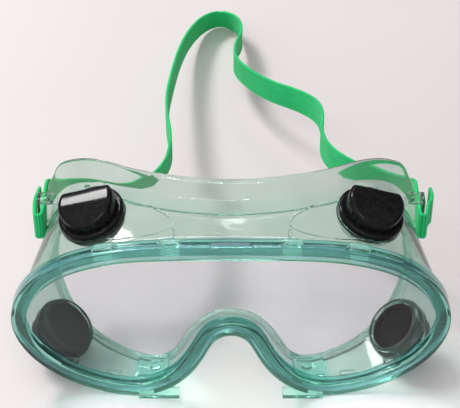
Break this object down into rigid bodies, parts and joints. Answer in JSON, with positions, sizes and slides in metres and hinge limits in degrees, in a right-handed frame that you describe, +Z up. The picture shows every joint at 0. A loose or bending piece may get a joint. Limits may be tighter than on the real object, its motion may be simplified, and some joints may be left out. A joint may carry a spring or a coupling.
{
  "type": "safety goggles",
  "caption": "Soft clear-framed chemical-splash safety goggles with a wide curved lens, hooded indirect vents and an elastic headband threaded through temple lugs.",
  "frame": {"origin": "on the surface the goggles stand on, under the middle of the goggles' own box, headband left out", "axes": "+Z up, the lens faces -Y and the wearer's face is at +Y, +X towards the wearer's left"},
  "size_m": [0.175, 0.2658, 0.09],
  "materials": {
    "soft_frame": "soft translucent vinyl, satin",
    "lens": "clear, polished",
    "vent": "moulded, glossy",
    "retainer": "moulded, satin",
    "headband": "ribbed elastic webbing"
  },
  "bodies": {
    "frame": {"frame_shell": "soft_frame", "lens": "lens", "strap_end_left": "headband", "strap_end_right": "headband", "vent_base_top_left": "vent", "vent_hood_top_left": "vent", "vent_retainer_top_left": "retainer", "vent_base_top_right": "vent", "vent_hood_top_right": "vent", "vent_retainer_top_right": "retainer", "vent_base_bottom_left": "vent", "vent_hood_bottom_left": "vent", "vent_retainer_bottom_left": "retainer", "vent_base_bottom_right": "vent", "vent_hood_bottom_right": "vent", "vent_retainer_bottom_right": "retainer"},
    "headband": {"headband": "headband"}
  },
  "joints": [
    {"name": "headband_swing", "type": "hinge", "parent": "frame", "child": "headband", "pos_m": [0, 0.035, 0.0538], "axis": [1, 0, 0], "range_deg": [0, 85]}
  ]
}
